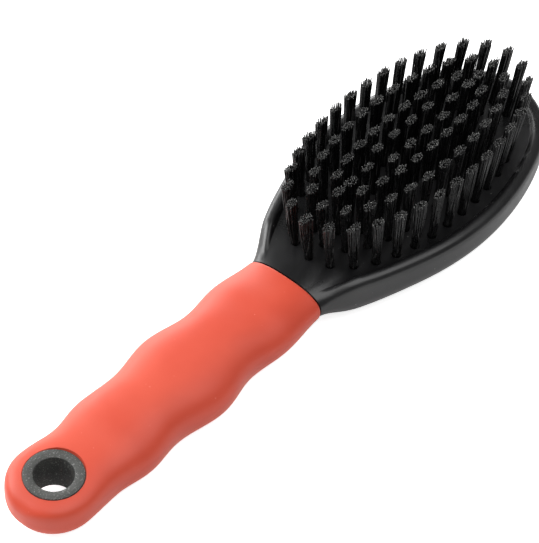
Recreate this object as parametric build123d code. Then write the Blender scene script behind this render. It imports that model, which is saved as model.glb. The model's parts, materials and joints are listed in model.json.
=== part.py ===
from build123d import *
import math
import os

# A hand brush lying on its back: bristles up (+Z), head tip at +X, butt of the handle at -X.
# Millimetres. In this file x runs from the butt of the handle and z from the surface that the
# brush lies on. The whole brush is moved back by half its length when it is written out, so
# the origin is under the middle of the brush.

# ---- overall sizes
overall_length = 221.0
seam_x = 109.0              # where the rubber grip ends and the bare neck begins
head_half_width = 30.3

# ---- head
face_z = 15.0               # flat face that the bristles stand on
rim_height = 1.7            # the raised rim stands this far above the face
rim_width = 4.9             # from the outer wall to the inner foot of the rim
rim_outer_round = 1.4
back_round = 9.0            # height of the round between the side wall and the flat back
back_round_stretch = 1.35   # the same round reaches this many times as far inwards
widest_x = 169.0            # where the head is widest
neck_direction = (1, 0.12)  # how the neck leaves the seam, in plan
recess_points = 16
neck_points = [(9.0, 0.575), (24.5, 0.79), (42.0, 0.95)]     # past the seam, share of half width
nose_points = [(25.5, 0.86), (8.5, 0.575)]                  # before the tip, share of half width
flare_middle_z = 8.5
# The neck opens from the seam's oval to the head: past the seam, half width, half height, power.
flare_steps = [(6.0, 17.6, 6.9, 2.8), (14.0, 24.5, 9.0, 3.2), (24.0, 36.0, 14.0, 3.2)]
long_edge = 60.0            # the outline's edges are longer than this

# ---- handle sections
seam_half_width = 13.4
seam_half_height = 5.9
seam_centre_z = 9.0
hole_x = 13.0
butt_radius = 13.1          # the butt is round in plan about the hanging hole
butt_half_height = 6.2
butt_middle_z = 8.3         # the butt is thin and stands clear of the table
belly_half_height = 8.6
butt_power = 3.2            # a section is a squared oval: power 2 is an ellipse
grip_power = 2.4
section_points = 16
section_spacing = 5.0
butt_sections = 6
butt_end_angle = 8.0        # degrees round the butt, from its end to the first section
grip_lip_round = 0.7
waist_1_x = 25.0
waist_1_half_width = 12.4
waist_1_half_height = 7.2
waist_1_middle_z = 7.8
bulge_1_x = 37.0
bulge_1_half_width = 14.2
bulge_1_half_height = 8.1
waist_2_x = 48.5
waist_2_half_width = 13.1
bulge_2_x = 65.0
bulge_2_half_width = 15.5
waist_3_x = 80.0
waist_3_half_width = 13.2
waist_3_half_height = 8.1
waist_3_middle_z = 8.9
bulge_3_x = 93.0
bulge_3_half_width = 14.6
bulge_3_half_height = 7.2
bulge_3_middle_z = 9.1

# ---- core inside the grip
grip_wall = 2.6             # thickness of rubber over the core
bond_gap = 0.08             # between the core and the rubber moulded on it
neck_step = 0.35            # the rubber's lip stands this far proud of the bare neck
window_length = 12.0        # slots through the core, filled by the rubber to lock the grip
window_width = 5.0

# ---- hanging hole
hole_radius = 5.5
eyelet_radius = 8.4         # the core shows round the hole as a flush ring
hole_chamfer = 0.4
past_faces = 5.0            # a cutting cylinder reaches this far past the faces it cuts

# ---- tufts and the wires that hold them
tuft_length = 19.1          # above the face
seam_to_tufts = 10.0        # from the seam to the first root of the outer ring
tufts_to_tip = 12.0         # from its last root to the tip of the head
tufts_to_side = 8.7         # from its widest root to the side of the head
outer_ring_tufts = 32       # each ring inwards has six fewer
ring_step = 6.9             # from one oval ring of tufts to the next
oval_rings = 3
ring_fullness = 0.09        # makes the ends of a ring fuller than an ellipse's
column_pitch = 7.5          # inside the rings is a long group of columns
single_columns = 2          # single tufts at each end of it
pair_columns = 4            # and pairs between them
pair_half_gap = 2.8
lean_along = 0.082          # a tip is further out than its root by this share
lean_across = 0.045
root_radius = 1.25
tip_half_length = 2.25
tip_half_width = 1.3
hole_clearance = 0.06
tuft_hole_depth = 8.0
tuft_end_gap = 0.1
anchor_length = 3.3         # a flat wire that the tuft is folded round, low in its hole
anchor_height = 1.6
anchor_thickness = 0.4
anchor_rise = 0.9           # from the end of the tuft up to the wire
anchor_clearance = 0.03

rim_z = face_z + rim_height
tip_z = face_z + tuft_length
tuft_centre_x = (seam_x + seam_to_tufts + overall_length - tufts_to_tip) / 2
outer_ring_half_length = overall_length - tufts_to_tip - tuft_centre_x
outer_ring_half_width = head_half_width - tufts_to_side
to_origin = Pos(-overall_length / 2, 0, 0)


def save(shape, node):
    export_step(to_origin * shape, "parts/" + node + ".step")


# ---- handle: a run of squared ovals, widest at the finger bulges

# x, half width, half height, height of the middle, power of the squared oval
handle_stations = [
    (hole_x, butt_radius, butt_half_height, butt_middle_z, butt_power),
    (waist_1_x, waist_1_half_width, waist_1_half_height, waist_1_middle_z, butt_power),
    (bulge_1_x, bulge_1_half_width, bulge_1_half_height, bulge_1_half_height, grip_power),
    (waist_2_x, waist_2_half_width, belly_half_height, belly_half_height, grip_power),
    (bulge_2_x, bulge_2_half_width, belly_half_height, belly_half_height, grip_power),
    (waist_3_x, waist_3_half_width, waist_3_half_height, waist_3_middle_z, grip_power),
    (bulge_3_x, bulge_3_half_width, bulge_3_half_height, bulge_3_middle_z, grip_power),
    (seam_x, seam_half_width, seam_half_height, seam_centre_z, grip_power),
]


def squared_oval(half_width, half_height, power, angle):
    c = math.cos(angle)
    s = math.sin(angle)
    y = half_width * math.copysign(abs(c) ** (2 / power), c)
    z = half_height * math.copysign(abs(s) ** (2 / power), s)
    return y, z


def oval_section(x, half_width, half_height, middle_z, power):
    points = []
    for i in range(section_points):
        y, z = squared_oval(half_width, half_height, power, 2 * math.pi * i / section_points)
        points.append((x, y, middle_z + z))
    return make_face(Spline(points, periodic=True))


def smooth_between(start, end, share):
    return start + (end - start) * (1 - math.cos(math.pi * share)) / 2


def butt_stations():
    """Sections of the round butt, from its end to just short of the hanging hole."""
    stations = []
    for i in range(butt_sections):
        angle = math.radians(butt_end_angle + (90 - butt_end_angle) * i / butt_sections)
        back = math.cos(angle)
        share = (1 - back ** butt_power) ** (1 / butt_power)
        stations.append((back, math.sin(angle), share))
    return stations


def handle_form(inset):
    """The whole handle, from its round butt to the seam, smaller all round by inset."""
    radius = butt_radius - inset
    butt_height = butt_half_height - inset
    faces = []
    for back, width_share, height_share in butt_stations():
        faces.append(oval_section(hole_x - radius * back, radius * width_share,
                                  butt_height * height_share, butt_middle_z, butt_power))
    sections = []
    for left, right in zip(handle_stations, handle_stations[1:]):
        count = max(1, round((right[0] - left[0]) / section_spacing))
        for i in range(count):
            x = left[0] + (right[0] - left[0]) * i / count
            sizes = [smooth_between(a, b, i / count) for a, b in zip(left[1:], right[1:])]
            sections.append((x, *sizes))
    sections.append(handle_stations[-1])
    for x, half_width, half_height, middle_z, power in sections:
        faces.append(oval_section(x, half_width - inset, half_height - inset, middle_z, power))
    return loft(faces)


def eyelet(radius, past):
    """A cylinder on the hanging hole's axis, reaching past both faces of the butt."""
    return Pos(hole_x, 0, butt_middle_z) * Cylinder(radius, 2 * (butt_half_height + past))


def lock_windows(gap):
    """Slots through the core under the three bulges, smaller by gap."""
    slot = SlotOverall(window_length - 2 * gap, window_width - 2 * gap)
    return [Pos(x, 0, 0) * extrude(slot, rim_z) for x in (bulge_1_x, bulge_2_x, bulge_3_x)]


def core_form(gap):
    """The core under the grip, larger all round by gap."""
    return handle_form(grip_wall - gap) - lock_windows(gap)


# ---- head

def head_curve():
    """One side of the head in plan, from the seam, along the neck, to the tip."""
    points = [(seam_x, seam_half_width - neck_step)]
    points += [(seam_x + past, share * head_half_width) for past, share in neck_points]
    points.append((widest_x, head_half_width))
    points += [(overall_length - before, share * head_half_width) for before, share in nose_points]
    points.append((overall_length, 0))
    return Spline(points, tangents=[neck_direction, (0, -1)])


def head_outline():
    side = head_curve()
    other = mirror(side, Plane.XZ)
    return make_face(side + other + Line(side @ 0, (seam_x, neck_step - seam_half_width)))


def recess_outline():
    """The foot of the rim: the head's outline moved inwards by the rim's width."""
    side = head_curve()
    points = []
    for i in range(recess_points + 1):
        place = side @ (i / recess_points)
        along = side % (i / recess_points)
        points.append((place.X + rim_width * along.Y, place.Y - rim_width * along.X))
    points += [(x, -y) for x, y in reversed(points[:-1])]
    return make_face(Spline(points) + Line(points[-1], points[0]))


def long_edges(shape, level):
    """The outline's long edges among those at the lowest (0) or highest (-1) level."""
    return shape.edges().group_by(Axis.Z)[level].filter_by(lambda edge: edge.length > long_edge)


def head_slab():
    """The full outline, its back edge rounded further inwards than up, its face recessed."""
    tall = extrude(head_outline(), rim_z * back_round_stretch)
    tall = fillet(long_edges(tall, 0), back_round * back_round_stretch)
    slab = scale(tall, by=(1, 1, 1 / back_round_stretch))
    slab = fillet(long_edges(slab, -1), rim_outer_round)
    return slab - Pos(0, 0, face_z) * extrude(recess_outline(), 2 * rim_height)


def neck_envelope():
    """What the head may fill near the seam: the seam's oval, opening until it clears the head."""
    faces = [oval_section(seam_x, seam_half_width - neck_step, seam_half_height - neck_step,
                          seam_centre_z, grip_power)]
    for past, half_width, half_height, power in flare_steps:
        faces.append(oval_section(seam_x + past, half_width, half_height, flare_middle_z, power))
    start = seam_x + flare_steps[-1][0]
    length = overall_length + past_faces - start
    beyond = Pos(start + length / 2, 0, flare_middle_z) * Box(length, 3 * head_half_width, 4 * face_z)
    return loft(faces) + beyond


# ---- tufts

def ring_roots(half_length, half_width, count):
    """Evenly spaced points round one oval ring, starting on the axis at the neck end."""
    steps = 720
    outline = []
    for i in range(steps + 1):
        angle = 2 * math.pi * i / steps
        x = -half_length * math.cos(angle)
        y = half_width * math.sin(angle) * (1 + ring_fullness * math.cos(angle) ** 2)
        outline.append((x, y))
    run = [0.0]
    for a, b in zip(outline, outline[1:]):
        run.append(run[-1] + math.dist(a, b))
    roots = []
    for i in range(count):
        target = run[-1] * i / count
        k = max(n for n in range(steps) if run[n] <= target + 1e-9)
        share = (target - run[k]) / (run[k + 1] - run[k])
        roots.append(tuple(a + (b - a) * share for a, b in zip(outline[k], outline[k + 1])))
    return roots


def column_roots():
    """The columns inside the rings: single tufts at the ends and pairs between."""
    columns = 2 * single_columns + pair_columns
    roots = []
    for i in range(columns):
        x = (i - (columns - 1) / 2) * column_pitch
        single = min(i, columns - 1 - i) < single_columns
        roots += [(x, 0)] if single else [(x, pair_half_gap), (x, -pair_half_gap)]
    return roots


def all_rings():
    rings = []
    for i in range(oval_rings):
        half_length = outer_ring_half_length - i * ring_step
        half_width = outer_ring_half_width - i * ring_step
        rings.append(ring_roots(half_length, half_width, outer_ring_tufts - 6 * i))
    rings.append(column_roots())
    return rings


def tuft_point(root, z):
    """Where a tuft's centre line passes height z."""
    share = (z - face_z) / tuft_length
    x = tuft_centre_x + root[0] * (1 + lean_along * share)
    y = root[1] * (1 + lean_across * share)
    return Pos(x, y, z)


def leaning_rod(root, radius, low_z, high_z):
    return loft([tuft_point(root, low_z) * Circle(radius), tuft_point(root, high_z) * Circle(radius)])


def anchor(root, gap):
    low_z = face_z - tuft_hole_depth + tuft_end_gap + anchor_rise
    place = tuft_point(root, low_z + anchor_height / 2)
    return place * Box(anchor_thickness + 2 * gap, anchor_length + 2 * gap, anchor_height + 2 * gap)


def tuft_hole(root):
    return leaning_rod(root, root_radius + hole_clearance, face_z - tuft_hole_depth, face_z + 1)


def tuft(root):
    """A bundle folded round its anchor, round at the root and spread lengthwise at the tip."""
    held = leaning_rod(root, root_radius, face_z - tuft_hole_depth + tuft_end_gap, face_z)
    tip = tuft_point(root, tip_z) * Ellipse(tip_half_length, tip_half_width)
    free = loft([tuft_point(root, face_z) * Circle(root_radius), tip])
    return held + free - anchor(root, anchor_clearance)


# ---- the pieces

def head_and_core():
    body = head_slab() & neck_envelope()
    body += core_form(0) + eyelet(eyelet_radius, 0)
    body -= eyelet(hole_radius, past_faces)
    bore_edges = body.edges().filter_by(GeomType.CIRCLE)
    body = chamfer(bore_edges.filter_by(lambda edge: abs(edge.radius - hole_radius) < 0.01), hole_chamfer)
    tools = []
    for ring in all_rings():
        for root in ring:
            tools.append(tuft_hole(root))
            tools.append(anchor(root, anchor_clearance))
    return body - tools


def grip_sleeve():
    outer = handle_form(0)
    outer = fillet(outer.edges().group_by(Axis.X)[-1], grip_lip_round)
    return outer - core_form(bond_gap) - eyelet(eyelet_radius + bond_gap, past_faces)


if __name__ == "__main__":
    os.makedirs("parts", exist_ok=True)
    save(head_and_core(), "head_and_core")
    save(grip_sleeve(), "grip_sleeve")
    for number, ring in enumerate(all_rings(), 1):
        anchors = [anchor(root, 0) for root in ring]
        save(Compound(children=anchors), f"anchors_ring_{number}")
        for i in range(0, len(ring), 2):
            pair = [tuft(root) for root in ring[i:i + 2]]
            save(Compound(children=pair), f"tufts_ring_{number}_pair_{i // 2 + 1:02d}")
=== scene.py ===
# %% [markdown]
# # A bristle brush, lesson by lesson
#
# This script dresses a hand brush in its looks: a polished black head with a raised rim, a
# wavy orange-red rubber grip, a textured ring round the hanging hole, and ninety tufts of
# black nylon. The engineering model comes first, as a fixed frame: it says where every piece
# is, in metres, with the brush lying on its back and its bristles pointing up (+Z). The tip of
# the head is at +X. Each visible piece is then modelled as a mesh around that frame.

# %% load the frame
import math
import random
import json

import bpy
import bmesh
import numpy as np
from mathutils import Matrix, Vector


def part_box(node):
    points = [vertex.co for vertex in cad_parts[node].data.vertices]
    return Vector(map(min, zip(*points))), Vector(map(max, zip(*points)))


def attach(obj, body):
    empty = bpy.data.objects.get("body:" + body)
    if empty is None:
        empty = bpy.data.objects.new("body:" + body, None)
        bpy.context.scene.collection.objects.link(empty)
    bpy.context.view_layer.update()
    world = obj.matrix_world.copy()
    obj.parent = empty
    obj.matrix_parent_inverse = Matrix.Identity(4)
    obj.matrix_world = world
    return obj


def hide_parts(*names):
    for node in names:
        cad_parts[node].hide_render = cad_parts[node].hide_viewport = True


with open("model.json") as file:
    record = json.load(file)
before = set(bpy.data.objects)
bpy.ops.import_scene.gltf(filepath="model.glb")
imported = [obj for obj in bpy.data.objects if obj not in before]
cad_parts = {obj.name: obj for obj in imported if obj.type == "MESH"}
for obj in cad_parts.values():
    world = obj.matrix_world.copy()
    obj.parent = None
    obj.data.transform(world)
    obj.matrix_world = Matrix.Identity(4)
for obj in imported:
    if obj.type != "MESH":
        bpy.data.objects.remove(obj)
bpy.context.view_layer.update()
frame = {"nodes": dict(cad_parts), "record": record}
MM = 0.001


# %% [markdown]
# ## What the frame tells
#
# Sizes are read off the frame wherever it holds them. The grip's box gives the seam between
# rubber and neck, the head's box gives its width, its tip and the top of its rim, and the
# record's hanging hole gives the hole's centre and radius. What the boxes can't tell, such as
# how wide the rim is, is a named value in millimetres.

# %% sizes from the frame
head_low, head_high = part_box("head_and_core")
grip_low, grip_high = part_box("grip_sleeve")
hole = next(m for m in frame["record"]["mounts"] if m["name"] == "hanging_hole")
HOLE_X = hole["pos_m"][0]
HOLE_RADIUS = hole["dims"]["r_mm"] * MM
BUTT_MIDDLE_Z = hole["pos_m"][2]
BUTT_X = grip_low.x
SEAM_X = grip_high.x
TIP_X = head_high.x
HEAD_HALF_WIDTH = head_high.y
RIM_Z = head_high.z
RIM_HEIGHT = 1.7 * MM
FACE_Z = RIM_Z - RIM_HEIGHT
BUTT_TOP_Z = 14.5 * MM
BUTT_LOW_Z = 2 * BUTT_MIDDLE_Z - BUTT_TOP_Z
print(f"brush {(TIP_X - BUTT_X) / MM:.1f} mm long, seam at {(SEAM_X - BUTT_X) / MM:.1f} mm")


# %% [markdown]
# ## Curves through a few points
#
# A moulded product is drawn with few points and smooth lines between them. A cubic spline
# that keeps its slope and its curvature through every point gives clean reflections, where a
# line of straight pieces would show as facets. Blender's own curves could do it, but a short
# helper lets the same line drive a width, a height or an outline.

# %% helper: a smooth line through points
def spline(knots, values, at):
    """Natural cubic spline through (knots, values), read at the places in at."""
    knots = np.asarray(knots, float)
    values = np.asarray(values, float)
    gaps = np.diff(knots)
    slopes = np.diff(values, axis=0) / (gaps if values.ndim == 1 else gaps[:, None])
    count = len(knots)
    matrix = np.eye(count)
    right = np.zeros(values.shape)
    for i in range(1, count - 1):
        matrix[i, i - 1 : i + 2] = gaps[i - 1], 2 * (gaps[i - 1] + gaps[i]), gaps[i]
        right[i] = 6 * (slopes[i] - slopes[i - 1])
    bend = np.linalg.solve(matrix, right)
    at = np.asarray(at, float)
    i = np.clip(np.searchsorted(knots, at, side="right") - 1, 0, count - 2)
    h, left, far = gaps[i], at - knots[i], knots[i + 1] - at
    if values.ndim > 1:
        h, left, far = h[:, None], left[:, None], far[:, None]
    return (
        (bend[i] * far**3 + bend[i + 1] * left**3) / (6 * h)
        + (values[i] / h - bend[i] * h / 6) * far
        + (values[i + 1] / h - bend[i + 1] * h / 6) * left
    )


def smooth_step(value):
    """Rises from 0 to 1 with no kink at either end."""
    value = np.clip(value, 0, 1)
    return value * value * (3 - 2 * value)


print("half way up a smooth step:", float(smooth_step(0.5)))


# %% [markdown]
# ## Skins from grids
#
# The head and the grip are both skins: a grid of points, row by row along the body and column
# by column round it. Sculpting or a subdivision cage would also give such shapes, but a grid
# worked out from named sizes can be changed by changing a number, and its quads follow the
# form, so highlights run along the piece as they do on the real moulding.

# %% helpers: meshes, pieces and grids
def new_piece(name, vertices, faces):
    mesh = bpy.data.meshes.new(name)
    mesh.from_pydata([tuple(v) for v in vertices], [], faces)
    mesh.update()
    mesh.polygons.foreach_set("use_smooth", [True] * len(mesh.polygons))
    piece = bpy.data.objects.new(name, mesh)
    bpy.context.scene.collection.objects.link(piece)
    return piece


def tidy(piece, distance=1e-6):
    """Merges points that fall together and turns every face outwards."""
    work = bmesh.new()
    work.from_mesh(piece.data)
    bmesh.ops.remove_doubles(work, verts=work.verts, dist=distance)
    bmesh.ops.dissolve_degenerate(work, edges=work.edges, dist=distance)
    bmesh.ops.recalc_face_normals(work, faces=work.faces)
    work.to_mesh(piece.data)
    work.free()
    return piece


def grid_faces(rows, columns, close_columns):
    """The quads of a grid of points, joined round into a tube when close_columns is true."""
    faces = []
    across = columns if close_columns else columns - 1
    for r in range(rows - 1):
        this_row, next_row = r * columns, (r + 1) * columns
        for c in range(across):
            d = (c + 1) % columns
            faces.append((this_row + c, this_row + d, next_row + d, next_row + c))
    return faces


def lathe(name, profile, axis_x, segments):
    """Turns a closed profile of (radius, height) round an upright axis at axis_x."""
    vertices = []
    for i in range(segments):
        angle = 2 * math.pi * i / segments
        for radius, height in profile:
            x = axis_x + radius * math.cos(angle)
            vertices.append((x, radius * math.sin(angle), height))
    count = len(profile)
    faces = []
    for i in range(segments):
        j = (i + 1) % segments
        for k in range(count):
            m = (k + 1) % count
            faces.append((i * count + k, j * count + k, j * count + m, i * count + m))
    return tidy(new_piece(name, vertices, faces))


def cut(piece, cutter):
    """Cuts a solid mesh out of a piece and throws the cutter away."""
    modifier = piece.modifiers.new("cut", "BOOLEAN")
    modifier.operation = "DIFFERENCE"
    modifier.solver = "EXACT"
    modifier.object = cutter
    apply_modifiers(piece)
    bpy.data.objects.remove(cutter)


def apply_modifiers(piece):
    """Puts the mesh as the modifiers leave it in place of the piece's own."""
    graph = bpy.context.evaluated_depsgraph_get()
    mesh = bpy.data.meshes.new_from_object(piece.evaluated_get(graph))
    piece.modifiers.clear()
    old = piece.data
    piece.data = mesh
    bpy.data.meshes.remove(old)


def sharpen(piece, degrees):
    """Shades smooth, but keeps an edge where two faces meet at more than this angle."""
    piece.data.set_sharp_from_angle(angle=math.radians(degrees))


print("helpers ready")


# %% [markdown]
# ## The head
#
# The real head is one injection moulding: a flat face for the bristles, a soft raised rim
# round it, a near-vertical wall, and a back that rounds away further inwards than it does up.
# Boxes with bevels would give hard, even edges. Here one cross-section is carried round the
# outline, always pointing at the head's long axis, so the rim keeps its width even at the tip.

# %% the head's outline and section
RIM_WIDTH = 4.9 * MM
ROUND_HEIGHT = 9.0 * MM
BACK_ROUND_SHARE = 0.62
SPINE_END = TIP_X - 24 * MM
NECK_HALF_WIDTH = 13.05 * MM
NECK_HALF_HEIGHT = 5.55 * MM
NECK_MIDDLE_Z = 9.0 * MM
NECK_BLEND = 13 * MM
OVAL_POWER = 2.4
BOX_MARGIN = 0.01 * MM


def head_outline(count):
    """Points of one side in plan, from the seam along the neck to the tip."""
    width = HEAD_HALF_WIDTH - BOX_MARGIN
    side = [
        (SEAM_X, NECK_HALF_WIDTH),
        (SEAM_X + 9.0 * MM, 0.575 * width),
        (SEAM_X + 24.5 * MM, 0.79 * width),
        (SEAM_X + 42.0 * MM, 0.95 * width),
        (SEAM_X + 60.0 * MM, width),
        (TIP_X - 25.5 * MM, 0.86 * width),
        (TIP_X - 8.5 * MM, 0.575 * width),
        (TIP_X, 0.0),
    ]
    before = (SEAM_X - 9.0 * MM, NECK_HALF_WIDTH - 0.2 * MM)
    other_side = [(x, -y) for x, y in reversed(side[:-1])]
    whole = np.array([before] + side + other_side + [(before[0], -before[1])])
    run = np.concatenate([[0], np.cumsum(np.linalg.norm(np.diff(whole, axis=0), axis=1))])
    seam, tip = run[1], run[len(side)]
    share = np.linspace(0, 1, count)
    return spline(run, whole, seam + (tip - seam) * share)


# the rim in millimetres, inwards from the wall and up from the face
RIM_SECTION = [
    (4.9, 0.0), (4.8, 0.03), (4.66, 0.16), (4.48, 0.46), (4.25, 0.84), (3.95, 1.22),
    (3.6, 1.5), (3.2, 1.66), (2.8, 1.7), (2.3, 1.66), (1.8, 1.54), (1.3, 1.34),
    (0.85, 1.04), (0.45, 0.62), (0.16, 0.1), (0.02, -0.5),
]
WALL_TOP = FACE_Z - 0.5 * MM
FACE_ROWS, WALL_ROWS, ROUND_ROWS, BACK_ROWS = 7, 5, 14, 6


def rim_and_wall():
    """The section's (inset from the wall, height) from the face over the rim and down the wall."""
    rows = [(inset * MM, FACE_Z + height * MM) for inset, height in RIM_SECTION]
    for i in range(1, WALL_ROWS + 1):
        rows.append((0.0, WALL_TOP - (WALL_TOP - ROUND_HEIGHT) * i / WALL_ROWS))
    return rows


def oval(share):
    """Half of the neck's squared oval, from its top (0) to its bottom (1), as two shares."""
    angle = math.pi / 2 - math.pi * share
    c, s = math.cos(angle), math.sin(angle)
    return abs(c) ** (2 / OVAL_POWER), math.copysign(abs(s) ** (2 / OVAL_POWER), s)


def towards_neck(points, half_width, blend):
    """Moves a head section towards the neck's oval: blend 0 is the neck, 1 the head."""
    run = [0.0]
    for a, b in zip(points, points[1:]):
        run.append(run[-1] + math.dist(a, b))
    moved = []
    for length, (lateral, level) in zip(run, points):
        side, up = oval(length / run[-1])
        neck = (half_width * side, NECK_MIDDLE_Z + NECK_HALF_HEIGHT * up)
        moved.append((neck[0] + (lateral - neck[0]) * blend, neck[1] + (level - neck[1]) * blend))
    return moved


def head_columns(place):
    """One section of the head: points from the middle of its face to the middle of its back."""
    x, y = place
    spine_x = min(x, SPINE_END)
    reach = math.hypot(x - spine_x, y)
    direction = ((x - spine_x) / reach, y / reach)
    points = []
    foot = reach - RIM_WIDTH
    for i in range(FACE_ROWS):
        points.append((foot * i / FACE_ROWS, FACE_Z))
    for inset, level in rim_and_wall():
        points.append((reach - inset, level))
    round_width = BACK_ROUND_SHARE * reach
    for i in range(1, ROUND_ROWS + 1):
        angle = math.pi / 2 * i / ROUND_ROWS
        inset = round_width * (1 - math.cos(angle))
        points.append((reach - inset, ROUND_HEIGHT * (1 - math.sin(angle))))
    edge = points[-1][0]
    for i in range(1, BACK_ROWS + 1):
        points.append((edge * (1 - i / BACK_ROWS), 0.0))
    blend = float(smooth_step((x - SEAM_X) / NECK_BLEND))
    if blend < 1:
        points = towards_neck(points, reach, blend)
    return [(spine_x + direction[0] * r, direction[1] * r, z) for r, z in points]


print("half width of the head half way along:", head_outline(3)[1][1])


# %% build the head
SEAM_GAP = 0.35 * MM
SEAM_STEP = 0.02 * MM
SEAM_SHOULDER = 0.12 * MM
STUB_INSET = 1.2 * MM
STUB_LENGTH = 2 * MM
HEAD_STATIONS = 150


def build_head():
    """The closed shell: both sides of the head, and a stub that goes on into the grip."""
    side = head_outline(HEAD_STATIONS)
    side[:, 1] = np.maximum(side[:, 1], 0)
    side[-1] = (TIP_X, 0.0)
    left = [head_columns(place) for place in side]
    right = [[(x, -y, z) for x, y, z in section] for section in reversed(left[:-1])]
    sections = left + right
    rows, columns = len(sections), len(sections[0])
    vertices = [point for section in sections for point in section]
    faces = grid_faces(rows, columns, False)
    loop = left[0] + [(x, -y, z) for x, y, z in reversed(left[0][1:-1])]
    centre = Vector((0, 0, NECK_MIDDLE_Z))
    start = len(vertices)
    rings = [(SEAM_X, 0.0), (SEAM_X - SEAM_STEP, SEAM_SHOULDER), (SEAM_X - SEAM_STEP, STUB_INSET),
             (SEAM_X - STUB_LENGTH, STUB_INSET)]
    for x, inset in rings:
        for point in loop:
            offset = Vector((0, point[1], point[2])) - centre
            shrunk = offset * (1 - inset / offset.length)
            vertices.append((x + SEAM_GAP, shrunk.y, shrunk.z + NECK_MIDDLE_Z))
    around = len(loop)
    faces += [tuple(start + i for i in face) for face in grid_faces(len(rings), around, True)]
    faces.append(tuple(start + (len(rings) - 1) * around + i for i in range(around)))
    for i in range(rows * columns):
        x, y, z = vertices[i]
        if x < SEAM_X + SEAM_GAP:
            vertices[i] = (SEAM_X + SEAM_GAP, y, z)
    return tidy(new_piece("head_shell", vertices, faces), 2e-6)


head = build_head()
print("head shell:", len(head.data.polygons), "faces")


# %% [markdown]
# ## Reading the tufts
#
# The frame holds every tuft as one simple solid, two to a node. Their centre lines could be
# worked out again from ring sizes, but reading them off the solids keeps one source for both.
# The mesh splits into islands, one per tuft, and each gives a root at the face and a tip.

# %% where every tuft stands
SAME_LEVEL = 0.05 * MM


def islands_of(mesh, points):
    """Groups of point numbers that hang together by edges or by lying on the same place."""
    parent = list(range(len(points)))

    def find(i):
        while parent[i] != i:
            parent[i] = parent[parent[i]]
            i = parent[i]
        return i

    for edge in mesh.edges:
        a, b = find(edge.vertices[0]), find(edge.vertices[1])
        parent[a] = b
    places = {}
    for i, point in enumerate(points):
        places.setdefault(tuple(np.round(point, 6)), i)
    for i, point in enumerate(points):
        parent[find(i)] = find(places[tuple(np.round(point, 6))])
    islands = {}
    for i in range(len(points)):
        islands.setdefault(find(i), []).append(i)
    return list(islands.values())


def tuft_lines(node_name):
    """The (root, tip) centres of each tuft of a node, at the face and at its top."""
    mesh = frame["nodes"][node_name].data
    points = np.array([v.co for v in mesh.vertices])
    lines = []
    for island in islands_of(mesh, points):
        solid = points[island]
        top = solid[solid[:, 2] > solid[:, 2].max() - SAME_LEVEL]
        low = solid[np.abs(solid[:, 2] - FACE_Z) < SAME_LEVEL]
        lines.append(((low.min(0) + low.max(0)) / 2, (top.min(0) + top.max(0)) / 2))
    lines.sort(key=lambda line: tuple(line[0]))
    return lines


tuft_nodes = sorted(name for name in frame["nodes"] if name.startswith("tufts_"))
TUFTS = {name: tuft_lines(name) for name in tuft_nodes}
print(sum(len(lines) for lines in TUFTS.values()), "tufts on", len(TUFTS), "nodes")


# %% [markdown]
# ## The tuft holes
#
# Each tuft stands in a hole in the face. Since the face is flat, one boolean with a cutter of
# ninety short, slightly flared rods makes every hole at once and keeps the shell closed.
# Painting dark dots would be cheaper, but a real edge catches the light between the tufts.

# %% cut the tuft holes
HOLE_ROOM = 1.34 * MM
HOLE_DEPTH = 3.0 * MM
FLARE = 0.12 * MM
HOLE_SIDES = 20
HEAD_EDGE_DEGREES = 38


def rods(name, places, profile, segments):
    """Many closed rods in one mesh: profile is (radius, height) from bottom to top."""
    vertices, faces = [], []
    for x, y, z in places:
        start = len(vertices)
        for radius, height in profile:
            for k in range(segments):
                angle = 2 * math.pi * (k + 0.5) / segments
                across, along = radius * math.cos(angle), radius * math.sin(angle)
                vertices.append((x + across, y + along, z + height))
        for face in grid_faces(len(profile), segments, True):
            faces.append(tuple(start + i for i in face))
        faces.append(tuple(start + k for k in reversed(range(segments))))
        faces.append(tuple(start + (len(profile) - 1) * segments + k for k in range(segments)))
    return tidy(new_piece(name, vertices, faces))


roots = [root for lines in TUFTS.values() for root, _ in lines]
hole_profile = [(HOLE_ROOM, -HOLE_DEPTH), (HOLE_ROOM, -FLARE), (HOLE_ROOM + 2 * FLARE, FLARE)]
cut(head, rods("hole_cutter", roots, hole_profile, HOLE_SIDES))
sharpen(head, HEAD_EDGE_DEGREES)
print("head with holes:", len(head.data.polygons), "faces")


# %% [markdown]
# ## The grip
#
# The grip is a rubber sleeve moulded over the core: round at the butt, then wavy in plan so
# that the fingers find their places. Its section is a squared oval that changes slowly along
# the handle. A grid of such sections, with the widths on one spline, gives the swelling sides
# one unbroken surface. The lip where it ends against the neck is rounded by the last rows.

# %% the grip's stations
# distance from the butt, half width, half height, height of the middle, power above and below it
GRIP_STATIONS = np.array([
    (13.0, 13.1, (BUTT_TOP_Z - BUTT_MIDDLE_Z) / MM, BUTT_MIDDLE_Z / MM, 4.2, 2.9),
    (25.0, 12.4, 7.2, 7.8, 3.0, 2.7),
    (37.0, 14.2, 8.1, 8.1, 2.4, 2.4),
    (48.5, 13.1, 8.6, 8.6, 2.4, 2.4),
    (65.0, 15.5, 8.6, 8.6, 2.4, 2.4),
    (80.0, 13.2, 8.1, 8.9, 2.4, 2.4),
    (93.0, 14.6, 7.2, 9.1, 2.4, 2.4),
    (109.0, 13.4, 5.9, 9.0, 2.4, 2.4),
]) * (MM, MM, MM, MM, 1, 1)
HANDLE_ZERO = HOLE_X - GRIP_STATIONS[0, 0]
ROUND_COUNT = 96
BUTT_ANGLES = np.radians(np.concatenate([[8.2, 11, 15], np.arange(20, 90, 5)]))
STATION_STEP = 1.0 * MM
LIP_ROUND = 0.8 * MM
LIP_STEPS = 6
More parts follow.
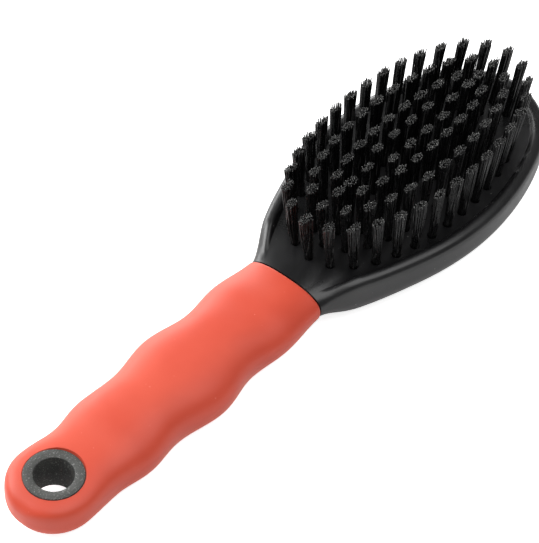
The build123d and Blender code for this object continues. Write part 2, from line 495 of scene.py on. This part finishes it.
# how the sleeve turns back behind its lip: distance from the end, inset
LIP_BACK = ((0.0, 1.3 * MM), (0.5 * MM, 1.4 * MM), (1.5 * MM, 1.4 * MM))
GRIP_EDGE_DEGREES = 40


def between_stations(x):
    """The section's sizes at one place, easing from each station to the next as the frame does."""
    table = GRIP_STATIONS
    i = int(np.clip(np.searchsorted(table[:, 0], x, side="right") - 1, 0, len(table) - 2))
    share = np.clip((x - table[i, 0]) / (table[i + 1, 0] - table[i, 0]), 0, 1)
    ease = (1 - math.cos(math.pi * share)) / 2
    return table[i, 1:] + (table[i + 1, 1:] - table[i, 1:]) * ease


def section_loop(x, half_width, half_height, middle, power_above, power_below):
    """The points of one squared oval round the handle."""
    loop = []
    for k in range(ROUND_COUNT):
        angle = 2 * math.pi * (k + 0.5) / ROUND_COUNT
        c, s = math.cos(angle), math.sin(angle)
        power = power_above if s > 0 else power_below
        y = half_width * math.copysign(abs(c) ** (2 / power), c)
        z = half_height * math.copysign(abs(s) ** (2 / power), s)
        loop.append((HANDLE_ZERO + x, y, middle + z))
    return loop


def skin_over(name, loops):
    """A closed skin over a row of loops, with a flat face at each end."""
    vertices = [point for loop in loops for point in loop]
    faces = grid_faces(len(loops), ROUND_COUNT, True)
    faces.append(tuple(range(ROUND_COUNT)))
    last = (len(loops) - 1) * ROUND_COUNT
    faces.append(tuple(last + k for k in reversed(range(ROUND_COUNT))))
    return tidy(new_piece(name, vertices, faces))


def build_grip():
    """Loops round the butt, along the handle, over the lip and back in behind it."""
    butt, radius, height, middle, above, below = GRIP_STATIONS[0]
    length = GRIP_STATIONS[-1, 0]
    loops = []
    for angle in BUTT_ANGLES:
        back = math.cos(angle)
        rise = (1 - back**below) ** (1 / below)
        loops.append(section_loop(butt - radius * back, radius * math.sin(angle),
                                  height * rise, middle, above, below))
    for x in np.arange(butt, length - LIP_ROUND, STATION_STEP):
        loops.append(section_loop(x, *between_stations(x)))
    end = between_stations(length)
    lip = []
    for step in range(LIP_STEPS + 1):
        angle = math.pi / 2 * step / LIP_STEPS
        lip.append((LIP_ROUND * (1 - math.sin(angle)), LIP_ROUND * (1 - math.cos(angle))))
    for back, inset in [*lip, *LIP_BACK]:
        loops.append(section_loop(length - back, end[0] - inset, end[1] - inset, *end[2:]))
    return skin_over("rubber_grip", loops)


print("handle, from the butt's end to the seam:", GRIP_STATIONS[-1, 0], "m")


# %% build the grip and open the hole for the ring
grip = build_grip()
RING_RADIUS = 8.4 * MM
RING_FLARE = 0.25 * MM
PAST_BUTT = 2 * MM
ring_cutter = lathe("ring_cutter", [
    (0.0, BUTT_LOW_Z - PAST_BUTT),
    (RING_RADIUS + 3 * RING_FLARE, BUTT_LOW_Z - PAST_BUTT),
    (RING_RADIUS + RING_FLARE, BUTT_LOW_Z),
    (RING_RADIUS, BUTT_LOW_Z + 2 * RING_FLARE),
    (RING_RADIUS, BUTT_TOP_Z - 2 * RING_FLARE),
    (RING_RADIUS + RING_FLARE, BUTT_TOP_Z),
    (RING_RADIUS + 3 * RING_FLARE, BUTT_TOP_Z + PAST_BUTT),
    (0.0, BUTT_TOP_Z + PAST_BUTT),
], HOLE_X, 96)
cut(grip, ring_cutter)
sharpen(grip, GRIP_EDGE_DEGREES)
print("grip:", len(grip.data.polygons), "faces")


# %% [markdown]
# ## The ring round the hanging hole
#
# The core comes up through the rubber and shows as a flush ring. It is a turned shape, so a
# profile spun round the hole's axis is the plain way to make it: a softly rounded outer edge,
# a flat face, a chamfer, and the bore. Its grey face and its painted glints are left to the
# material.

# %% build the ring
CHAMFER = 0.55 * MM
CHAMFER_IN, CHAMFER_UP = 0.12 * MM, 0.2 * MM
ROUND = 0.22 * MM
RING_ROOM = 0.06 * MM
OUT = RING_RADIUS - RING_ROOM
RING_EDGE_DEGREES = 25
ring = lathe("hole_ring", [
    (HOLE_RADIUS, BUTT_LOW_Z + CHAMFER),
    (HOLE_RADIUS + CHAMFER_IN, BUTT_LOW_Z + CHAMFER_UP),
    (HOLE_RADIUS + CHAMFER, BUTT_LOW_Z),
    (OUT - ROUND, BUTT_LOW_Z),
    (OUT, BUTT_LOW_Z + ROUND),
    (OUT, BUTT_TOP_Z - ROUND),
    (OUT - 0.3 * ROUND, BUTT_TOP_Z - 0.3 * ROUND),
    (OUT - ROUND, BUTT_TOP_Z),
    (HOLE_RADIUS + CHAMFER, BUTT_TOP_Z),
    (HOLE_RADIUS + CHAMFER_IN, BUTT_TOP_Z - CHAMFER_UP),
    (HOLE_RADIUS, BUTT_TOP_Z - CHAMFER),
], HOLE_X, 128)
sharpen(ring, RING_EDGE_DEGREES)
print("ring:", len(ring.data.polygons), "faces")


# %% [markdown]
# ## The core inside the grip
#
# Nothing of the core shows between the ring and the neck, yet the brush would be hollow
# without it. It gets the grip's own sections, smaller by the rubber's thickness, so whoever
# opens the model finds the stiff bar that the rubber is moulded on.

# %% build the core
RUBBER = 2.7 * MM
CORE_ROOM = 1.0 * MM
CORE_STEP = 4.0 * MM
core_loops = []
core_start = HOLE_X - BUTT_X + RING_RADIUS + CORE_ROOM
for x in np.arange(core_start, SEAM_X - BUTT_X - CORE_ROOM, CORE_STEP):
    half_width, half_height, *rest = between_stations(x)
    core_loops.append(section_loop(x, half_width - RUBBER, half_height - RUBBER, *rest))
core = skin_over("handle_core", core_loops)
print("core:", len(core.data.polygons), "faces")


# %% [markdown]
# ## The bristles
#
# A tuft is some forty nylon filaments, folded in half round a flat wire and driven into the
# hole, so it leaves the hole round and opens lengthwise towards its cut tip. Hair particles
# could stand for it, but they leave no mesh behind. Each filament is therefore a thin tube of
# its own, leaning from the hole to its place in the tip. Small steps in length and a little
# bend keep the bundle from looking like one solid rod.

# %% helpers: one filament and one tuft
FILAMENTS = 44
THICK = 0.165 * MM
SIDES = 5
BUNDLE_ROOT = 1.13 * MM
TIP_LONG, TIP_WIDE = 2.35 * MM, 1.3 * MM
BODY_SLOT, END_SLOT = 0, 1
BELOW_FACE = 1.6 * MM
TIP_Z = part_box(tuft_nodes[0])[1].z
TIP_ROOM = 0.04 * MM
CUT_UNEVEN = 0.34
STRAY_CHANCE, STRAY, CALM = 0.09, 2.6, 0.8
SPREAD_LONG, SPREAD_WIDE = 0.1, 0.08
FIRST_SEED = 100
# shares of the height where a filament has a ring of points; the last two are the cut end
LINE_SHARES = (0.0, 0.32, 0.66, 0.976, 1.0)
OPENING_POWER = 0.85


def sunflower(count, turn):
    """Evenly spread places in a unit disc, each a golden angle on from the last."""
    places = []
    for i in range(count):
        distance = math.sqrt((i + 0.5) / count)
        angle = turn + i * math.pi * (3 - math.sqrt(5))
        places.append((distance * math.cos(angle), distance * math.sin(angle)))
    return places


def add_filament(line, radius, vertices, faces, slots):
    """A thin closed tube along a line; its last stretch and its end get the cut end's slot."""
    start = len(vertices)
    ahead = line[-1] - line[0]
    side = Vector((1, 0, 0)) - ahead * (ahead.x / ahead.length_squared)
    side.normalize()
    other = ahead.cross(side).normalized()
    for place in line:
        for k in range(SIDES):
            angle = 2 * math.pi * k / SIDES
            outwards = side * (radius * math.cos(angle))
            vertices.append(place + outwards + other * (radius * math.sin(angle)))
    body_faces = (len(line) - 2) * SIDES
    for i, face in enumerate(grid_faces(len(line), SIDES, True)):
        faces.append(tuple(start + k for k in face))
        slots.append(BODY_SLOT if i < body_faces else END_SLOT)
    last = start + (len(line) - 1) * SIDES
    faces.append(tuple(last + k for k in range(SIDES)))
    slots.append(END_SLOT)
    faces.append(tuple(start + k for k in reversed(range(SIDES))))
    slots.append(BODY_SLOT)


def add_tuft(root, tip, dice, vertices, faces, slots):
    """One tuft's filaments, from a round bundle in the hole to a longer, split tip."""
    root, tip = Vector(root), Vector(tip)
    turn = dice.uniform(0, 2 * math.pi)
    slant = dice.uniform(-0.12, 0.12)
    split = dice.uniform(0.05, 0.3)
    length_scale, width_scale = dice.uniform(0.92, 1.05), dice.uniform(0.88, 1.08)
    for u, v in sunflower(FILAMENTS, turn):
        low = root + Vector((u, v, 0)) * BUNDLE_ROOT
        along = u * TIP_LONG * length_scale + math.copysign(split * MM * (1 - v * v), u)
        across = v * TIP_WIDE * width_scale
        stray = STRAY if dice.random() < STRAY_CHANCE else CALM
        top = tip + Vector((along + slant * across, across - slant * along, 0))
        top += Vector((dice.gauss(0, SPREAD_LONG), dice.gauss(0, SPREAD_WIDE), 0)) * stray * MM
        top.z = TIP_Z - TIP_ROOM - abs(dice.gauss(0.0, CUT_UNEVEN)) * MM
        bow = Vector((dice.gauss(0, SPREAD_LONG), dice.gauss(0, SPREAD_WIDE), 0)) * MM * stray
        line = [low - Vector((0, 0, BELOW_FACE))]
        for share in LINE_SHARES:
            place = low.lerp(top, share**OPENING_POWER)
            place.z = low.z + (top.z - low.z) * share
            line.append(place + bow * math.sin(math.pi * share))
        add_filament(line, THICK * dice.uniform(0.93, 1.07), vertices, faces, slots)


print("filaments in all:", FILAMENTS * sum(len(lines) for lines in TUFTS.values()))


# %% build the bristles
def build_bristles(node_name, seed):
    """All tufts of one frame node as one piece, the same each time for the same seed."""
    dice = random.Random(seed)
    vertices, faces, slots = [], [], []
    for root, tip in TUFTS[node_name]:
        add_tuft(root, tip, dice, vertices, faces, slots)
    piece = new_piece("bristles_" + node_name.removeprefix("tufts_"), vertices, faces)
    piece.data.polygons.foreach_set("material_index", slots)
    for face in piece.data.polygons:
        face.use_smooth = len(face.vertices) == 4
    return piece


bristles = [build_bristles(name, FIRST_SEED + i) for i, name in enumerate(tuft_nodes)]
print("bristle pieces:", len(bristles))
print("bristle faces:", sum(len(piece.data.polygons) for piece in bristles))


# %% [markdown]
# ## Shared effects for the finishes
#
# Three small effects appear in more than one finish: a fine grain pressed into the mould, a
# slow cloudiness of tone or gloss, and pale specks of dust. Each is built once as a node group
# with its sizes as inputs, and each material brings its own values. The groups only put out
# masks and heights; the shader itself stays in the material.

# %% helpers: node groups
def new_group(name, scale, outputs):
    """An empty group with a Scale input and the named outputs, all plain numbers."""
    group = bpy.data.node_groups.new(name, "ShaderNodeTree")
    socket = group.interface.new_socket("Scale", in_out="INPUT", socket_type="NodeSocketFloat")
    socket.default_value = scale
    for label in outputs:
        group.interface.new_socket(label, in_out="OUTPUT", socket_type="NodeSocketFloat")
    entry = group.nodes.new("NodeGroupInput")
    leave = group.nodes.new("NodeGroupOutput")
    return group, entry, leave


def node(tree, kind, **settings):
    """A new node in a tree, with its settings."""
    made = tree.nodes.new(kind)
    for key, value in settings.items():
        setattr(made, key, value)
    return made


def feed(tree, socket, value):
    """Links a socket to another node's output, or sets it to a plain number or colour."""
    if isinstance(value, bpy.types.NodeSocket):
        tree.links.new(value, socket)
    else:
        socket.default_value = value


def math_node(tree, operation, a, b):
    made = node(tree, "ShaderNodeMath", operation=operation)
    feed(tree, made.inputs[0], a)
    feed(tree, made.inputs[1], b)
    return made.outputs[0]


def noise(tree, vector, scale, detail, roughness=0.5):
    made = node(tree, "ShaderNodeTexNoise")
    feed(tree, made.inputs["Detail"], detail)
    feed(tree, made.inputs["Roughness"], roughness)
    feed(tree, made.inputs["Scale"], scale)
    feed(tree, made.inputs["Vector"], vector)
    return made.outputs["Fac"]


def ramp(tree, value, low, high):
    """A mask that rises smoothly from 0 at low to 1 at high."""
    made = node(tree, "ShaderNodeMapRange", interpolation_type="SMOOTHSTEP")
    tree.links.new(value, made.inputs["Value"])
    made.inputs["From Min"].default_value = low
    made.inputs["From Max"].default_value = high
    return made.outputs["Result"]


# %% the three groups
def make_grain():
    """A fine pressed grain as a height, and a mask of its highest points, which also places
    painted glints.
    """
    group, entry, leave = new_group("mould_grain", 2500.0, ["Height", "Pits_and_glints"])
    place = node(group, "ShaderNodeTexCoord").outputs["Object"]
    fine = noise(group, place, entry.outputs["Scale"], 3.0, 0.62)
    group.links.new(fine, leave.inputs["Height"])
    group.links.new(ramp(group, fine, 0.56, 0.68), leave.inputs["Pits_and_glints"])
    return group


def make_clouds():
    """A slow, soft change from 0 to 1 over the surface."""
    group, entry, leave = new_group("slow_clouds", 60.0, ["Amount"])
    place = node(group, "ShaderNodeTexCoord").outputs["Object"]
    slow = noise(group, place, entry.outputs["Scale"], 3.0, 0.55)
    group.links.new(ramp(group, slow, 0.32, 0.7), leave.inputs["Amount"])
    return group


def make_dust():
    """Small specks, kept only where a slower noise lets them through, so that they cluster."""
    group, entry, leave = new_group("pale_dust", 700.0, ["Mask"])
    place = node(group, "ShaderNodeTexCoord").outputs["Object"]
    cells = node(group, "ShaderNodeTexVoronoi", feature="F1")
    group.links.new(place, cells.inputs["Vector"])
    group.links.new(entry.outputs["Scale"], cells.inputs["Scale"])
    small = ramp(group, math_node(group, "SUBTRACT", 1.0, cells.outputs["Distance"]), 0.88, 0.95)
    rare = ramp(group, noise(group, place, 210.0, 1.0), 0.6, 0.68)
    group.links.new(math_node(group, "MULTIPLY", small, rare), leave.inputs["Mask"])
    return group


GRAIN, CLOUDS, DUST = make_grain(), make_clouds(), make_dust()
print("shared groups:", GRAIN.name, CLOUDS.name, DUST.name)


# %% [markdown]
# ## The finishes
#
# A finish starts from the Principled shader with the plain sockets set for what the stuff is,
# and then the groups bring what changes over the surface. Colours are picked as they look on a
# screen and turned into the linear values that the shader works with.

# %% helpers: colours and materials
def screen(r, g, b):
    """Linear colour from the screen values 0 to 255."""
    def linear(value):
        value /= 255
        return value / 12.92 if value <= 0.04045 else ((value + 0.055) / 1.055) ** 2.4
    return (linear(r), linear(g), linear(b), 1.0)


def new_material(name):
    """A material with its node tree and its Principled shader."""
    material = bpy.data.materials.new(name)
    material.use_nodes = True
    return material, material.node_tree, material.node_tree.nodes["Principled BSDF"]


def use_group(tree, group, scale):
    """Places a shared group in a material, with the material's own scale."""
    made = node(tree, "ShaderNodeGroup", node_tree=group)
    made.inputs["Scale"].default_value = scale
    return made


def mix_colour(tree, factor, first, second):
    """The first colour where the factor is 0 and the second where it is 1."""
    made = node(tree, "ShaderNodeMix", data_type="RGBA")
    feed(tree, made.inputs[6], first)
    feed(tree, made.inputs[7], second)
    feed(tree, made.inputs[0], factor)
    return made.outputs[2]


def mix_value(tree, factor, low, high):
    """A number that goes from low to high as the factor goes from 0 to 1."""
    made = node(tree, "ShaderNodeMapRange")
    tree.links.new(factor, made.inputs["Value"])
    made.inputs["To Min"].default_value = low
    made.inputs["To Max"].default_value = high
    return made.outputs["Result"]


def rough(tree, shader, factor, low, high):
    """Lets the roughness go from low to high as the factor goes from 0 to 1."""
    tree.links.new(mix_value(tree, factor, low, high), shader.inputs["Roughness"])


def bump(tree, shader, height, strength, distance):
    """Raises the surface by a height, for the light only."""
    made = node(tree, "ShaderNodeBump")
    made.inputs["Strength"].default_value = strength
    made.inputs["Distance"].default_value = distance
    tree.links.new(height, made.inputs["Height"])
    tree.links.new(made.outputs["Normal"], shader.inputs["Normal"])


# %% [markdown]
# ### Polished black moulding
#
# The head came out of a polished mould: nearly black, with sharp reflections along its rim,
# a faint waviness in the gloss where the plastic shrank, and a little dust on the face.

# %% black moulding
def black_moulding():
    material, tree, shader = new_material("black_moulding")
    clouds = use_group(tree, CLOUDS, 55.0)
    grain = use_group(tree, GRAIN, 1800.0)
    dust = use_group(tree, DUST, 620.0)
    tone = mix_colour(tree, clouds.outputs["Amount"], screen(17, 17, 18), screen(23, 23, 24))
    dusty = mix_colour(tree, dust.outputs["Mask"], tone, screen(150, 150, 148))
    tree.links.new(dusty, shader.inputs["Base Color"])
    rough(tree, shader, clouds.outputs["Amount"], 0.26, 0.36)
    shader.inputs["Specular IOR Level"].default_value = 0.6
    bump(tree, shader, grain.outputs["Height"], 0.2, 0.00006)
    return material


MOULDING = black_moulding()
print("finish:", MOULDING.name)


# %% [markdown]
# ### Textured ring
#
# The ring is the same plastic, but its part of the mould was spark-eroded. The tiny pits scatter
# the light, so it reads as a mid grey rather than as black, and its bright points are painted
# glints.

# %% textured ring
def textured_ring():
    material, tree, shader = new_material("textured_ring")
    grain = use_group(tree, GRAIN, 2200.0)
    clouds = use_group(tree, CLOUDS, 140.0)
    tone = mix_colour(tree, clouds.outputs["Amount"], screen(58, 59, 57), screen(70, 71, 68))
    # painted glints: the bright points at the grain's peaks are painted into the colour
    grey_with_painted_glints = mix_colour(tree, grain.outputs["Pits_and_glints"], tone, screen(128, 129, 126))
    tree.links.new(grey_with_painted_glints, shader.inputs["Base Color"])
    rough(tree, shader, grain.outputs["Pits_and_glints"], 0.62, 0.42)
    bump(tree, shader, grain.outputs["Height"], 0.8, 0.00018)
    return material


RING_FINISH = textured_ring()
print("finish:", RING_FINISH.name)


# %% [markdown]
# ### Soft-touch rubber
#
# The rubber is satin: the light spreads wide over it and its edges glow a little paler, which
# a small sheen gives. The pigment is a warm red-orange with hardly any change of tone, and a
# very fine grain breaks up the highlights.

# %% grip rubber
def grip_rubber():
    material, tree, shader = new_material("grip_rubber")
    clouds = use_group(tree, CLOUDS, 45.0)
    grain = use_group(tree, GRAIN, 2600.0)
    dust = use_group(tree, DUST, 520.0)
    tone = mix_colour(tree, clouds.outputs["Amount"], screen(205, 73, 51), screen(212, 80, 57))
    dusty = mix_colour(tree, dust.outputs["Mask"], tone, screen(226, 128, 108))
    tree.links.new(dusty, shader.inputs["Base Color"])
    rough(tree, shader, clouds.outputs["Amount"], 0.42, 0.5)
    shader.inputs["Specular IOR Level"].default_value = 0.42
    shader.inputs["Sheen Weight"].default_value = 0.4
    shader.inputs["Sheen Roughness"].default_value = 0.35
    shader.inputs["Sheen Tint"].default_value = screen(255, 205, 190)
    bump(tree, shader, grain.outputs["Height"], 0.3, 0.00005)
    return material


RUBBER_FINISH = grip_rubber()
print("finish:", RUBBER_FINISH.name)


# %% [markdown]
# ### Nylon filaments, their cut ends, and the anchor wire
#
# A filament is smooth black nylon, and the thin line of light along its length is a painted
# highlight: lighter grey streaks in its colour. Where it is cut off, the end is rougher and shows
# as a small grey point, with pale speckles painted in as highlight. The folded wire in each hole
# is plain brass, drawn and flattened, a little uneven in colour and gloss.

# %% filament, cut end and wire
def filament():
    material, tree, shader = new_material("nylon_filament")
    clouds = use_group(tree, CLOUDS, 900.0)
    stretch = node(tree, "ShaderNodeMapping")
    stretch.inputs["Scale"].default_value = (1.0, 1.0, 0.03)
    tree.links.new(node(tree, "ShaderNodeTexCoord").outputs["Object"], stretch.inputs["Vector"])
    # painted highlight: lighter grey streaks along each filament stand in for the line of light it
    # catches
    painted_highlight_streaks = ramp(tree, noise(tree, stretch.outputs["Vector"], 1500.0, 1.0), 0.58, 0.7)
    tone = mix_colour(tree, clouds.outputs["Amount"], screen(8, 8, 9), screen(14, 14, 15))
    streaked_with_painted_highlight = mix_colour(tree, painted_highlight_streaks, tone, screen(72, 72, 72))
    tree.links.new(streaked_with_painted_highlight, shader.inputs["Base Color"])
    rough(tree, shader, clouds.outputs["Amount"], 0.26, 0.38)
    shader.inputs["Specular IOR Level"].default_value = 0.4
    return material


def cut_end():
    material, tree, shader = new_material("filament_cut_end")
    clouds = use_group(tree, CLOUDS, 1500.0)
    grain = use_group(tree, GRAIN, 3000.0)
    tone = mix_colour(tree, clouds.outputs["Amount"], screen(20, 20, 20), screen(40, 40, 40))
    # painted highlight: pale speckles on the cut ends stand in for light falling on the tips from
    # above; the dark tone is the nylon's own
    speckled_painted_highlight = mix_colour(tree, grain.outputs["Pits_and_glints"], tone, screen(168, 168, 165))
    tree.links.new(speckled_painted_highlight, shader.inputs["Base Color"])
    rough(tree, shader, clouds.outputs["Amount"], 0.5, 0.7)
    return material


def anchor_wire():
    material, tree, shader = new_material("anchor_wire")
    clouds = use_group(tree, CLOUDS, 600.0)
    tone = mix_colour(tree, clouds.outputs["Amount"], screen(186, 150, 84), screen(214, 180, 110))
    tree.links.new(tone, shader.inputs["Base Color"])
    shader.inputs["Metallic"].default_value = 1.0
    rough(tree, shader, clouds.outputs["Amount"], 0.25, 0.4)
    return material


NYLON, CUT_END, WIRE = filament(), cut_end(), anchor_wire()
print("finishes:", NYLON.name, CUT_END.name, WIRE.name)


# %% dress the pieces
def dress(piece, *materials):
    for material in materials:
        piece.data.materials.append(material)


dress(head, MOULDING)
dress(core, MOULDING)
dress(ring, RING_FINISH)
dress(grip, RUBBER_FINISH)
for piece in bristles:
    dress(piece, NYLON, CUT_END)
for name, cad_object in frame["nodes"].items():
    if name.startswith("anchors_"):
        for slot in cad_object.material_slots:
            slot.material = WIRE
print("materials:", len(bpy.data.materials))


# %% [markdown]
# ## Tying the pieces to the frame
#
# Each visible piece rides on the frame's one body and stands for the node whose shape it
# refines. The head, the ring and the core stand together for the single black moulding.

# %% ride and replace
for piece in (head, ring, core):
    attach(piece, "root")
    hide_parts("head_and_core")
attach(grip, "root")
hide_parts("grip_sleeve")
for piece, name in zip(bristles, tuft_nodes):
    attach(piece, "root")
    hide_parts(name)
print("pieces tied:", 4 + len(bristles))


# %% [markdown]
# ## Floor and light
#
# The brush lies in a white studio: a pale floor that runs out of sight, a dim even sky, a soft
# lamp on the brush's far side, a wide one almost overhead, and a long low panel behind the
# head. The far lamps draw the bright line along the far rim and leave the near side of the
# grip in its own shade. The floor could be lit until it is white, but that much light would
# wash out the brush, so the camera alone sees a glow added to the paper.

# %% floor
FLOOR_HALF_SIZE = 3.0
FLOOR_ROWS = 24
FLOOR_Z = -0.0002
FLOOR_GLOW = 0.8


def floor_paper():
    material, tree, shader = new_material("floor_paper")
    clouds = use_group(tree, CLOUDS, 8.0)
    tone = mix_colour(tree, clouds.outputs["Amount"], screen(250, 250, 250), screen(253, 253, 253))
    tree.links.new(tone, shader.inputs["Base Color"])
    rough(tree, shader, clouds.outputs["Amount"], 0.85, 0.95)
    shader.inputs["Specular IOR Level"].default_value = 0.1
    seen = node(tree, "ShaderNodeLightPath").outputs["Is Camera Ray"]
    glow = node(tree, "ShaderNodeEmission")
    glow.inputs["Strength"].default_value = FLOOR_GLOW
    dark = node(tree, "ShaderNodeEmission")
    dark.inputs["Strength"].default_value = 0.0
    pick = node(tree, "ShaderNodeMixShader")
    tree.links.new(seen, pick.inputs[0])
    tree.links.new(dark.outputs[0], pick.inputs[1])
    tree.links.new(glow.outputs[0], pick.inputs[2])
    both = node(tree, "ShaderNodeAddShader")
    tree.links.new(shader.outputs[0], both.inputs[0])
    tree.links.new(pick.outputs[0], both.inputs[1])
    tree.links.new(both.outputs[0], tree.nodes["Material Output"].inputs["Surface"])
    return material


def make_floor():
    points = FLOOR_ROWS + 1
    vertices = []
    for r in range(points):
        for c in range(points):
            x = (c / FLOOR_ROWS - 0.5) * 2 * FLOOR_HALF_SIZE
            y = (r / FLOOR_ROWS - 0.5) * 2 * FLOOR_HALF_SIZE
            vertices.append((x, y, FLOOR_Z))
    piece = new_piece("studio_floor", vertices, grid_faces(points, points, False))
    dress(piece, floor_paper())
    return piece


floor = make_floor()
print("floor:", 2 * FLOOR_HALF_SIZE, "m across,", len(floor.data.polygons), "faces")


# %% lights
MIDDLE = Vector((0.0, 0.0, 0.01))
SKY_STRENGTH = 0.18


def lamp(name, azimuth, elevation, distance, size, power):
    """A rectangular soft lamp in the given direction from the brush, facing it."""
    data = bpy.data.lights.new(name, "AREA")
    data.shape = "RECTANGLE"
    data.size, data.size_y = size
    data.energy = power
    made = bpy.data.objects.new(name, data)
    a, e = math.radians(azimuth), math.radians(elevation)
    towards = Vector((math.cos(e) * math.cos(a), math.cos(e) * math.sin(a), math.sin(e)))
    made.location = MIDDLE + distance * towards
    made.rotation_euler = (MIDDLE - made.location).to_track_quat("-Z", "Y").to_euler()
    bpy.context.scene.collection.objects.link(made)


lamp("key_softbox", 112, 36, 1.0, (0.7, 0.5), 9.0)
lamp("top_softbox", 268, 76, 1.0, (1.2, 0.9), 8.0)
lamp("back_panel", 60, 12, 1.1, (1.8, 0.35), 11.0)
world = bpy.data.worlds.new("studio_sky")
world.use_nodes = True
sky = world.node_tree.nodes["Background"]
sky.inputs["Color"].default_value = (1.0, 1.0, 1.0, 1.0)
sky.inputs["Strength"].default_value = SKY_STRENGTH
bpy.context.scene.world = world
bpy.context.scene.view_settings.view_transform = "Standard"
print("lights ready")


# %% [markdown]
# ## Camera
#
# The camera looks down at the brush from the side of its butt, with a long lens, so that the
# head and the handle keep nearly the same scale. A tracking constraint could aim it, but three
# angles, a distance and a target say the same in numbers that can be changed one at a time.

# %% camera
CAMERA_AZIMUTH = math.radians(-54.053)
CAMERA_ELEVATION = math.radians(47.4125)
CAMERA_ROLL = math.radians(5.4153)
CAMERA_DISTANCE = 0.65949
CAMERA_TARGET = Vector((-3.31, 4.85, 14.57)) * MM
LENS = 101.985
SENSOR = 24.0


def place_camera():
    forward = Vector((
        -math.sin(CAMERA_AZIMUTH) * math.cos(CAMERA_ELEVATION),
        math.cos(CAMERA_AZIMUTH) * math.cos(CAMERA_ELEVATION),
        -math.sin(CAMERA_ELEVATION),
    ))
    level = Vector((math.cos(CAMERA_AZIMUTH), math.sin(CAMERA_AZIMUTH), 0))
    up = level.cross(forward)
    right = level * math.cos(CAMERA_ROLL) + up * math.sin(CAMERA_ROLL)
    rolled_up = up * math.cos(CAMERA_ROLL) - level * math.sin(CAMERA_ROLL)
    data = bpy.data.cameras.new("camera")
    data.sensor_fit = "VERTICAL"
    data.sensor_height = SENSOR
    data.lens = LENS
    made = bpy.data.objects.new("camera", data)
    columns = (right, rolled_up, -forward, CAMERA_TARGET - forward * CAMERA_DISTANCE)
    for c, column in enumerate(columns):
        for r in range(3):
            made.matrix_world[r][c] = column[r]
    bpy.context.scene.collection.objects.link(made)
    bpy.context.scene.camera = made
    return made


camera = place_camera()
print("camera at", tuple(round(v, 4) for v in camera.matrix_world.translation))
